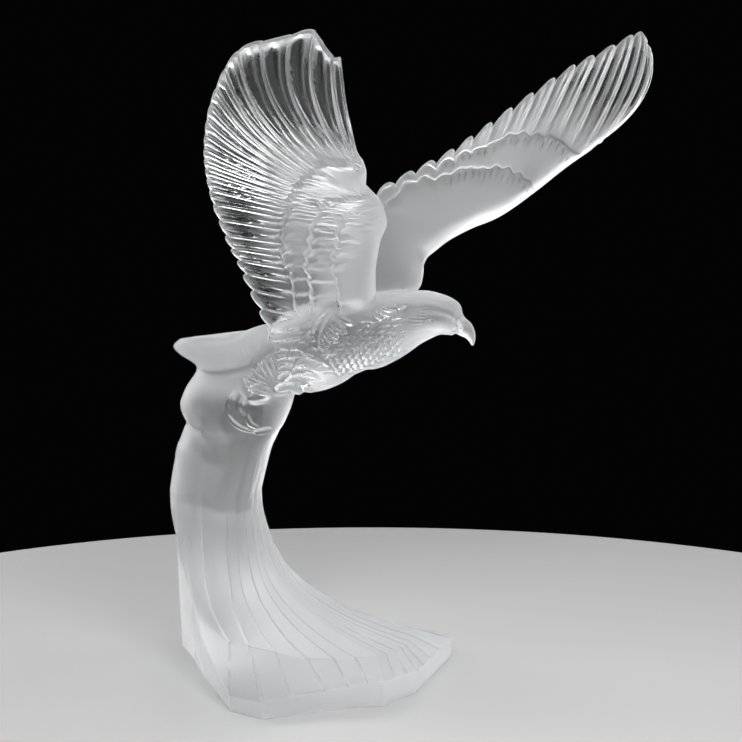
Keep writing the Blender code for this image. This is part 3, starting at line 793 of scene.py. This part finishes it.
def plumes(distance, turn, radius, rows):
    """Height of overlapping feathers on a limb, whose tips point back along it.

    distance and turn give each point's place along the limb and round it, in millimetres and
    radians; each row has its distance, feather length, width and height.
    """
    height = np.zeros(distance.shape)
    for index, (place, length, width, lift) in enumerate(rows):
        ahead = (place - distance) / length
        near = (ahead > -PLUME_OVERLAP) & (ahead < 1)
        if not near.any():
            continue
        girth = 2 * np.pi * radius[near].mean()
        count = max(FEWEST_PLUMES, int(round(girth / width)))
        pitch = 2 * np.pi / count
        share = (turn[near] / pitch + 0.5 * (index % 2)) % 1
        way = ahead[near]
        closing = np.clip((way - PLUME_TIP) / (1 - PLUME_TIP), 0, 1) ** PLUME_POWER
        outline = np.sqrt(np.clip(1 - closing, 0, 1)) * PLUME_WIDTH
        rise = PLUME_BASE + (1 - PLUME_BASE) * np.clip(way, 0, 1) ** PLUME_RISE
        for shift in (-1, 0, 1):
            across = share - 0.5 + shift
            inside = np.abs(across) < outline
            vault = 1 - PLUME_FALL * (across / np.maximum(outline, 1e-3)) ** 2
            shaft = PLUME_SHAFT[0] * bell(across, 0, PLUME_SHAFT[1])
            raised = lift * rise * (vault + shaft)
            height[near] = np.maximum(height[near], np.where(inside, raised, 0))
    return height


def limb(name, centres, half_heights, half_widths, rings, sides, pitches=None, relief=(), dress=None,
         gloss=0):
    """Rounded limb through its stations, with swells, hollows and feathers on it."""
    last = len(centres) - 1
    place = np.asarray(rings, float) if np.ndim(rings) else np.linspace(0, 1, rings)
    spine = along(centres, place)
    tall = along(half_heights, place)
    wide = along(half_widths, place)
    fine = np.linspace(0, 1, SPINE_POINTS)
    path = along(centres, fine)
    slope = np.gradient(path, axis=0)
    heading = np.stack([np.interp(place, fine, column) for column in slope.T], axis=1)
    heading /= np.linalg.norm(heading, axis=1, keepdims=True)
    side = np.cross(heading, (0.0, 0.0, 1.0))
    side[:] = side.mean(axis=0)
    side /= -np.sign(side[0, 1]) * np.linalg.norm(side, axis=1, keepdims=True)
    if pitches is not None:
        pitch = np.radians(along(pitches, place))[:, None]
        heading = np.cross((0.0, 0.0, 1.0), side) * np.cos(pitch) + np.array((0, 0, 1)) * np.sin(pitch)
    upward = np.cross(side, heading)
    upward *= np.sign(upward[len(place) // 2, 2] + 1e-9)
    angles = np.linspace(0, 2 * np.pi, sides, endpoint=False)
    if dress:
        angles = angles - CROWDING * np.sin(angles)
    from_side = np.degrees(np.arcsin(np.sin(angles)))
    raised = np.zeros((len(place), sides))
    polish = np.full((len(place), sides), gloss, float)
    for station, angle, length, round_reach, height, shine in relief:
        offset = ((place * last - station) / length) ** 2
        spot = np.exp(-offset[:, None] - ((from_side[None, :] - angle) / round_reach) ** 2)
        raised += height * spot
        polish += shine * spot

    def surface(raised):
        across = (wide[:, None] + raised) * np.cos(angles)
        up = (tall[:, None] + raised) * np.sin(angles)
        return (spine[:, None, :] + across[:, :, None] * side[:, None, :]
                + up[:, :, None] * upward[:, None, :])

    if dress:
        height, shine = dress(place * last, from_side, angles, surface(raised), (tall + wide) / 2)
        raised = raised + height
        polish = polish + shine
    return skin(name, surface(raised) * DRAWN, np.clip(polish, 0, 1))


def digit(path, radii):
    """Shank, toe or talon: a limb that ends in a round tip."""
    place = np.linspace(0, 1, DIGIT_RINGS)
    begins, reach = DIGIT_TIP
    girth = along(radii, place) * np.sqrt(1 - np.clip((place - begins) / reach, 0, 1) ** 2)
    return limb("digit", along(path, place), girth, girth, DIGIT_RINGS, DIGIT_SIDES, gloss=DIGIT_GLOSS)


def trunk_feathers(station, from_side, angles, points, radius):
    """Carved feathers on the side that shows, and plainer lapped rows on the other."""
    spine = points.mean(axis=1)
    gaps = np.linalg.norm(np.diff(spine, axis=0), axis=1)
    travelled = np.concatenate(((0,), np.cumsum(gaps)))
    rows = []
    place = float(np.interp(LAST_PLUMES, station, travelled))
    while place > FIRST_PLUMES:
        here = float(np.interp(place, travelled, station))
        size = float(np.interp(here, *PLUME_SIZES))
        rows.append((place, *(size * share for share in PLUME_SHARES)))
        place -= size * PLUME_PITCH
    distance = np.repeat(travelled[:, None], len(angles), axis=1)
    turn = np.repeat(angles[None, :], len(station), axis=0)
    wide = np.repeat(radius[:, None], len(angles), axis=1)
    height = plumes(distance, turn, wide, rows)
    top = np.interp(station, *PLUME_TOP)[:, None]
    belly = np.interp(station, *PLUME_BELLY)[:, None]
    shown = 1 - step(from_side[None, :], top - TOP_FADE, top + TOP_FADE)
    shown = shown * step(from_side[None, :], belly - BELLY_FADE, belly + BELLY_FADE)
    fading = (1 - step(station, *HEAD_FADE))[:, None]
    near = step(np.cos(angles), *TRUNK_SIDE)[None, :]
    middle, reach, angle, round_reach, depth, gloss = SHOULDER
    hollow = bell(station, middle, reach)[:, None] * bell(from_side, angle, round_reach)[None, :] * near
    marks, shine = carved(points, body_marks())
    height = height * shown * fading * (1 - near) + marks * near - depth * hollow
    return height, shine * near + hollow * gloss


def thigh_feathers(station, from_side, angles, points, radius):
    """Thigh whose feathers are carved on the side that shows."""
    near = step(np.cos(angles), *THIGH_SIDE)[None, :] * (points[:, :, 1] < NEAR_DEPTH)
    marks, shine = carved(points, body_marks())
    return marks * near, shine * near


def body_marks():
    """All the feathers carved on the body."""
    return LOWER_COVERTS + SCAPULARS + CLUMP + RUFF + FLANK + THIGH_TUFT + tuple(patched(PATCHES))


def wing(name, lines, feathers, spacing, phases, spans, arm, root, notch, dress,
         dent=(0, 1, 0), marks=()):
    """Closed sheet through its feather lines, dressed with feathers on both faces.

    spans are the rows of points between the leading edge, each covert edge and the tips, arm the
    thickness along the wing, root what is added at the body, notch the step between two feather
    tips, dent a dip in the outline, and dress gives the height and the polish of the face that
    shows.
    """
    number = (np.arange(feathers)[:, None] + np.asarray(phases)).ravel()
    number = np.append(number, feathers)
    u = along(spacing, number / feathers)
    phase = number % 1
    feather = np.minimum(number.astype(int), feathers - 1)

    def parts(place):
        return [along([line[part] for line in lines], place)[:, None] for part in range(3)]

    lead, middle, tip = parts(u)
    length = np.linalg.norm(tip - lead, axis=2)[:, 0]
    edges = along([line[3] for line in lines], u)[:, ::-1]
    rows = edges.shape[1]

    wave = np.sin(np.pi * (phase + WAVE_SHIFT)) ** 2
    for share, pace in SWAYS:
        wave = wave + share * np.sin(number * pace)
    knots = edges + (wave[:, None] - 0.5) * WAVINESS / length[:, None]
    for row in range(rows):
        knots[:, row] = np.maximum(knots[:, row], ROW_GAP * (row + 1))
    knots = np.concatenate((np.zeros((len(u), 1)), knots, np.ones((len(u), 1))), axis=1)

    falling = (np.abs(NOTCH_PLACE - phase) / NOTCH_PLACE) ** NOTCH_POWER
    rising = ((phase - NOTCH_PLACE) / (1 - NOTCH_PLACE)) ** 2
    cut = np.where(phase < NOTCH_PLACE, falling, rising) * along(notch, u) / length
    cut[-1] = cut[-2]
    cut = cut + dent[2] * window(u * (len(lines) - 1), dent[0], dent[1]) / length

    turns = [after - before for after, before in zip(parts(u + SLOPE_STEP), parts(u - SLOPE_STEP))]

    def face(counts):
        columns = []
        for span, count in enumerate(counts):
            ease = (1 - np.cos(np.pi * np.arange(count) / count)) / 2
            if span == len(counts) - 1:
                ease = np.linspace(0, 1, count + 1)[:-1] ** TIP_CROWDING
            columns.append(between(knots[:, span:span + 1], knots[:, span + 1:span + 2], ease))
        last = 1 - np.array(TIP_ROWS)[None, :] / length[:, None]
        v = np.sort(np.concatenate(columns + [last], axis=1), axis=1)
        share = v - cut[:, None] * v ** CUT_POWER
        spread = v[:, :, None]
        slope_v = lead * (4 * spread - 3) + middle * (4 - 8 * spread) + tip * (4 * spread - 1)
        normal = np.cross(bowed(*turns, spread), slope_v)
        normal /= np.maximum(np.linalg.norm(normal, axis=2, keepdims=True), 1e-9)
        nose = rounded(v / NOSE)
        outer = rounded((OUTER_END - u) / OUTER_EDGE)[:, None]
        closing = outer * rounded((1 - v) * length[:, None] / TIP_ROUND)
        thick = TIP_THICKNESS + (along(arm, u)[:, None] - TIP_THICKNESS) * (1 - v) ** TAPER
        at_body = (1 - step(u, 0, ROOT_REACH))[:, None] * (1 - step(v, *ROOT_FADE))
        thick = thick * nose + root * at_body * nose
        ease = STEP_EASE[0] + STEP_EASE[1] * step(u, *STEP_SPAN)[:, None]
        for row in range(rows):
            past = (v - knots[:, row + 1:row + 2]) * length[:, None]
            covert = (1 - step(past, -ease, ease)) * nose * (edges[:, row:row + 1] > 0)
            thick = thick + COVERT_STEP * covert
        return v, bowed(lead, middle, tip, share[:, :, None]), normal, thick, nose, closing

    v, sheet, normal, thick, nose, closing = face(spans)
    height, polish = dress(u, v, phase, feather, knots, length)
    cut_in, shine = carved(sheet, marks)
    height = height + cut_in
    polish = np.clip(polish + shine, 0, 1)
    front = sheet + normal * ((thick / 2 + height * nose) * closing)[:, :, None]
    fewer = [max(PLAIN_LEAST, count // PLAIN_SHARE) for count in spans]
    v, sheet, normal, thick, nose, closing = face(fewer)
    height, plain_polish = plain_feathers(u, v, phase, feather, knots, length)
    back = sheet - normal * ((thick / 2 + height * nose) * closing)[:, :, None]
    rounds = np.concatenate((front[:, ::-1], back[:, 1:-1]), axis=1)
    shine = np.concatenate((polish[:, ::-1], plain_polish[:, 1:-1]), axis=1)
    return skin(name, rounds * DRAWN, shine, ends=(0,), flat=(-1,))


def plain_feathers(u, v, phase, feather, knots, length):
    """Lapped flight feathers with a low shaft, for the faces that the photograph hides."""
    turn = phase[:, None]
    begins = knots[:, -2:-1]
    reach = step(v, begins, begins + PLAIN_REACH)
    height, place, width = PLAIN_SHAFT
    feathers = (turn - 0.5) * PLAIN_LAP + height * bell(turn, place, width)
    coverts = PLAIN_LINES * np.cos(4 * np.pi * turn) * (1 - reach)
    clear = step(v, begins + PLAIN_CLEAR[0], begins + PLAIN_CLEAR[1]) * (1 - step(v, *PLAIN_TIPS))
    return feathers * reach + coverts * step(v, *PLAIN_BASE), PLAIN_GLOSS * clear


def near_feathers(u, v, phase, feather, knots, length):
    """Underside of the near wing: sharp shafts, polished troughs, barbs and covert edges."""
    turn = phase[:, None]
    count = feather[:, None]
    begins = knots[:, -2:-1]
    mm = v * length[:, None]
    from_tip = (1 - v) * length[:, None]
    uneven = 0.5 + 0.5 * np.sin(count * NEAR_PACE)
    reach = step(v, begins + NEAR_REACH[0], begins + NEAR_REACH[1])
    ends = [end + spread * uneven for end, spread in zip(TROUGH_ENDS, TROUGH_SPREAD)]
    opens = reach * step(from_tip, *ends)
    opened = step(opens, 0, TROUGH_OPENS)
    upper = step(u, *OUTER_WING)[:, None]
    amid = bell(u, *MIDDLE_WING)[:, None]
    lower = 1 - step(u, *LOWER_WING)[:, None]

    place, half, trough_depth, trough_gloss = TROUGH
    trough = window(turn, place, half * opens) * opened
    place, half, second_depth, second_gloss = SECOND_TROUGH
    second = window(turn, place, half * opens) * opened
    place, width, height = SHAFT
    shaft = bell(turn, place, width) + bell(turn, place + 1, width)
    along_shaft = step(v, begins + SHAFT_BEGINS[0], begins + SHAFT_BEGINS[1])
    ridge = height * shaft * along_shaft * step(from_tip, *SHAFT_ENDS)

    barb, slant, shift, half = BARBS
    saw = (mm / barb + turn * slant + count * shift) % 1
    chosen = (feather * 7 % 3 != 1)[:, None]
    barbs = window(saw, 0.5, half) * window(turn, *BARBS_SPAN[:2]) * window(v, *BARBS_SPAN[2:]) * chosen
    deep = RELIEF[0]
    for change, span in zip(RELIEF[1:], RELIEF_SPANS):
        deep = deep + change * step(u, *span)[:, None]
    height = (ridge - trough_depth * trough - second_depth * second) * deep
    height = height + BARBS_HEIGHT * barbs * step(trough, *BARBS_BEGIN)

    lift, near_tip, off_tip, width = TIP_RIM
    rim = lift * (1 - step(from_tip, near_tip, off_tip)) * bell(turn, 0.5, width)
    lift, *span = COVERT_LINES
    lines = lift * np.cos(4 * np.pi * turn) * (1 - reach) * step(v, *span)
    half, *span = CELLS
    cells = window((turn + 0.5) % 1, 0.5, half) * lower * (1 - reach) * step(v, *span)
    band = 0
    dark = 0
    lift, more, place, width = COVERT_BAND
    depth, groove_place, groove_width = COVERT_GROOVE
    shade, shade_place, shade_width, front = COVERT_SHADE
    for row in range(1, knots.shape[1] - 1):
        past = mm - knots[:, row:row + 1] * length[:, None]
        on_covert = past < COVERT_END
        band = band + (lift + more * uneven) * bell(past, place, width) * on_covert
        band = band - depth * bell(past, groove_place, groove_width) * ~on_covert * (1 - upper)
        dark = dark + shade * bell(past, shade_place, shade_width) * (mm > front) * (1 - upper)
    height = height + lines + rim + band - CELL_DEPTH * cells

    gloss, *span = BORDER
    border = gloss * upper * (1 - step(from_tip, *span)) * reach
    polish = trough_gloss * trough + second_gloss * second + (OPEN_GLOSS[0] + OPEN_GLOSS[1] * amid) * opens
    return height, np.clip(polish + border + dark + CELL_GLOSS * cells - barbs, 0, 1)


def far_feathers(u, v, phase, feather, knots, length):
    """Upper side of the far wing: smooth coverts with cut ticks, lapped feathers with clear tips."""
    turn = phase[:, None]
    count = feather[:, None]
    begins = knots[:, -2:-1]
    mm = v * length[:, None]
    from_tip = (1 - v) * length[:, None]
    reach = step(v, begins + FAR_REACH[0], begins + FAR_REACH[1])
    lift, place, width = FAR_RIDGE
    height = FAR_LAP * (turn - 0.5) + lift * (bell(turn, place, width) + bell(turn, place - 1, width))
    lift, place, width = FAR_SHAFT
    height = height + lift * bell(turn, place, width)
    for depth, place, half in FAR_GROOVES:
        height = height - depth * window(turn, place, half)
    height = height * reach * (FAR_BASE + (1 - FAR_BASE) * step(v, *FAR_RISE))

    seam_depth, seam_place, seam_width = FAR_SEAM
    number, shift, half = TICKS
    before, change, pace, half_length = TICK_SPAN
    shown = step(u, *TICKS_BEGIN)[:, None] * (1 - step(u, *TICKS_END))[:, None]
    cuts = 0
    for row in range(1, knots.shape[1] - 1):
        past = mm - knots[:, row:row + 1] * length[:, None]
        height = height - seam_depth * bell(past, seam_place, seam_width)
        place = before + change * np.sin(count * pace)
        ticks = window((turn * number + shift) % 1, 0.5, half) * window(past, place, half_length)
        cuts = cuts + ticks * shown
    clear = step(v, begins + CLEAR_REACH[0], begins + CLEAR_REACH[1]) * step(from_tip, *CLEAR_ENDS)
    open_span = sum(window(turn, place, half) for place, half in CLEAR_SPANS)
    polish = CLEAR_GLOSS * clear * np.clip(open_span, 0, 1)
    return height - TICK_DEPTH * cuts, polish + TICK_GLOSS * cuts


def joined(name, pieces):
    """One solid from pieces that run into each other."""
    whole = pieces[0]
    whole.name = name
    for piece in pieces[1:]:
        union = whole.modifiers.new("union", "BOOLEAN")
        union.operation = "UNION"
        union.solver = "MANIFOLD"
        union.object = piece
        bake(whole)
        bpy.data.objects.remove(piece)
    return whole


def bake(made):
    """Apply an object's modifiers to its mesh."""
    shaped = made.evaluated_get(bpy.context.evaluated_depsgraph_get())
    data = bpy.data.meshes.new_from_object(shaped)
    made.modifiers.clear()
    made.data = data


def sampled(pieces):
    """Tree over the pieces' points, with each point's piece and polish."""
    spots = []
    for number, piece in enumerate(pieces):
        layer = piece.data.attributes["polish"].data
        for vertex, shine in zip(piece.data.vertices, layer):
            spots.append((vertex.co, number, shine.value))
    tree = KDTree(len(spots))
    for index, spot in enumerate(spots):
        tree.insert(spot[0], index)
    tree.balance()
    return tree, [spot[1] for spot in spots], [spot[2] for spot in spots]


def fused(figure, tree, owner, shine):
    """Soften the seams between the forms, as a casting has them, and mark the polished parts."""
    data = figure.data
    count = len(data.vertices)
    points = np.empty(count * 3)
    data.vertices.foreach_get("co", points)
    points = points.reshape(-1, 3)
    found = [tree.find(point)[1] for point in points]
    piece = np.array([owner[index] for index in found])
    polish = np.array([shine[index] for index in found])
    ends = np.empty(len(data.edges) * 2, int)
    data.edges.foreach_get("vertices", ends)
    ends = ends.reshape(-1, 2)
    seam = np.zeros(count)
    crossing = piece[ends[:, 0]] != piece[ends[:, 1]]
    seam[ends[crossing].ravel()] = 1
    links = np.bincount(ends.ravel(), minlength=count)

    def spread(values):
        total = np.zeros(values.shape)
        np.add.at(total, ends[:, 0], values[ends[:, 1]])
        np.add.at(total, ends[:, 1], values[ends[:, 0]])
        return total / (links[:, None] if values.ndim > 1 else links)

    weight = seam
    for ring in range(SEAM_RINGS):
        weight = np.maximum(weight, spread(weight) * SEAM_FALL)
    for turn in range(SEAM_ROUNDS):
        points = points + (spread(points) - points) * (SEAM_PULL * weight)[:, None]
    points = np.clip(points, np.array(cad_low), np.array(cad_high))
    data.vertices.foreach_set("co", points.ravel())
    if "polish" in data.attributes:
        data.attributes.remove(data.attributes["polish"])
    layer = data.attributes.new("polish", "FLOAT", "POINT")
    layer.data.foreach_set("value", polish)
    data.update()


def thin(figure):
    """Take faces away where the surface faces away from the camera, down to the most allowed."""
    count = sum(len(face.vertices) - 2 for face in figure.data.polygons)
    if count <= FACES:
        return
    normals = np.empty(len(figure.data.vertices) * 3)
    points = np.empty(len(normals))
    figure.data.vertices.foreach_get("normal", normals)
    figure.data.vertices.foreach_get("co", points)
    to_camera = np.array(CAMERA) / 1000 - points.reshape(-1, 3)
    hidden = np.flatnonzero((normals.reshape(-1, 3) * to_camera).sum(axis=1) < 0)
    group = figure.vertex_groups.new(name="hidden")
    group.add([int(index) for index in hidden], 1, "REPLACE")
    thinned = figure.modifiers.new("fewer faces", "DECIMATE")
    thinned.ratio = FACES / count
    thinned.vertex_group = "hidden"
    bake(figure)


def eagle():
    """All the forms, cast as one."""
    rings = np.interp(np.linspace(0, 1, TRUNK_RINGS), RING_SHARES,
                      np.array(RING_STATIONS) / (len(TRUNK) - 1))
    centres, half_heights, half_widths, pitches = zip(*TRUNK)
    pieces = [rock()]
    pieces.append(limb("trunk", centres, half_heights, half_widths, rings, TRUNK_SIDES, pitches,
                       HEAD_RELIEF, trunk_feathers))
    for thigh, ankle, side in zip(THIGHS, FEET, (1, -1)):
        centres, radii = zip(*thigh)
        pieces.append(limb("thigh", centres, radii, radii, THIGH_RINGS, THIGH_SIDES,
                           dress=thigh_feathers))
        for *path, radii in DIGITS:
            pieces.append(digit(np.array(ankle) + np.array(path) * (1, side, 1), radii))
    pieces.append(wing("near wing", NEAR_WING, NEAR_FEATHERS, NEAR_SPACING, NEAR_PHASES, NEAR_SPANS,
                       WING_THICKNESS, NEAR_ROOT, NEAR_NOTCH, near_feathers, NEAR_DENT,
                       WRIST + SCAPULARS))
    pieces.append(wing("far wing", FAR_WING, FAR_FEATHERS, FAR_SPACING, FAR_PHASES, FAR_SPANS,
                       WING_THICKNESS, FAR_ROOT, FAR_NOTCH, far_feathers))
    pieces.append(wing("tail", TAIL, TAIL_FEATHERS, EVEN_SPACING, TAIL_PHASES, TAIL_SPANS,
                       TAIL_THICKNESS, 0, TAIL_NOTCH, plain_feathers))
    tree, owner, shine = sampled(pieces)
    figure = joined("crystal_eagle_cast", pieces)
    thin(figure)
    fused(figure, tree, owner, shine)
    figure.data.shade_smooth()
    figure.data.set_sharp_from_angle(angle=np.radians(SHARP))
    return figure


def crystal():
    """Acid-frosted colourless crystal, clearer where it was polished."""
    material = bpy.data.materials.new("frosted_crystal")
    material.use_nodes = True
    nodes = material.node_tree.nodes
    links = material.node_tree.links
    shader = nodes["Principled BSDF"]
    shader.inputs["Base Color"].default_value = TINT
    shader.inputs["Metallic"].default_value = 0
    shader.inputs["IOR"].default_value = REFRACTION
    shader.inputs["Transmission Weight"].default_value = 1

    place = nodes.new("ShaderNodeTexCoord")
    polish = nodes.new("ShaderNodeAttribute")
    polish.attribute_name = "polish"
    cloud = nodes.new("ShaderNodeTexNoise")
    cloud.inputs["Scale"].default_value = CLOUDS
    cloud.inputs["Detail"].default_value = CLOUD_DETAIL
    links.new(place.outputs["Object"], cloud.inputs["Vector"])
    frost = nodes.new("ShaderNodeMapRange")
    frost.inputs["To Min"].default_value = FROST[0]
    frost.inputs["To Max"].default_value = FROST[1]
    links.new(cloud.outputs["Fac"], frost.inputs["Value"])
    rough = nodes.new("ShaderNodeMix")
    rough.data_type = "FLOAT"
    links.new(polish.outputs["Fac"], rough.inputs["Factor"])
    links.new(frost.outputs["Result"], rough.inputs["A"])
    rough.inputs["B"].default_value = POLISHED
    links.new(rough.outputs["Result"], shader.inputs["Roughness"])

    grain = nodes.new("ShaderNodeTexNoise")
    grain.inputs["Scale"].default_value = GRAIN
    grain.inputs["Detail"].default_value = GRAIN_DETAIL
    links.new(place.outputs["Object"], grain.inputs["Vector"])
    fine = nodes.new("ShaderNodeBump")
    fine.inputs["Strength"].default_value = GRAIN_STRENGTH
    fine.inputs["Distance"].default_value = GRAIN_HEIGHT
    links.new(grain.outputs["Fac"], fine.inputs["Height"])
    links.new(fine.outputs["Normal"], shader.inputs["Normal"])
    return material


def pale():
    """Plain pale material of the floor."""
    material = bpy.data.materials.new("pale_floor")
    material.use_nodes = True
    shader = material.node_tree.nodes["Principled BSDF"]
    shader.inputs["Base Color"].default_value = (FLOOR_GREY, FLOOR_GREY, FLOOR_GREY, 1)
    shader.inputs["Roughness"].default_value = FLOOR_ROUGHNESS
    return material


def studio():
    """Pale floor, dark surround and soft lights."""
    scene = bpy.context.scene
    scene.view_settings.view_transform = "Standard"
    disc = bmesh.new()
    bmesh.ops.create_circle(disc, cap_ends=True, segments=FLOOR_SIDES, radius=FLOOR_RADIUS)
    data = bpy.data.meshes.new("floor")
    disc.to_mesh(data)
    disc.free()
    data.materials.append(pale())
    floor = bpy.data.objects.new("floor", data)
    floor.location = FLOOR_PLACE
    scene.collection.objects.link(floor)

    world = bpy.data.worlds.new("surround")
    scene.world = world
    world.use_nodes = True
    background = world.node_tree.nodes["Background"]
    background.inputs[0].default_value = (SURROUND_GREY, SURROUND_GREY, SURROUND_GREY, 1)
    background.inputs[1].default_value = 1

    for name, spot, aim, size, power, spread in SOFTBOXES:
        lamp = bpy.data.lights.new(name, "AREA")
        lamp.shape = "RECTANGLE"
        lamp.size, lamp.size_y = size
        lamp.energy = power
        lamp.spread = np.radians(spread)
        holder = bpy.data.objects.new(name, lamp)
        holder.location = spot
        holder.rotation_euler = (Vector(aim) - Vector(spot)).to_track_quat("-Z", "Y").to_euler()
        scene.collection.objects.link(holder)

    lens = bpy.data.cameras.new("camera")
    lens.lens = LENS
    lens.sensor_width = SENSOR
    camera = bpy.data.objects.new("camera", lens)
    camera.location = Vector(CAMERA) / 1000
    camera.rotation_euler = (Vector(AIM) - Vector(CAMERA)).to_track_quat("-Z", "Y").to_euler()
    scene.collection.objects.link(camera)
    scene.camera = camera


figure = eagle()
figure.data.materials.clear()
figure.data.materials.append(crystal())
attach(figure, "root")
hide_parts(NODE)
studio()
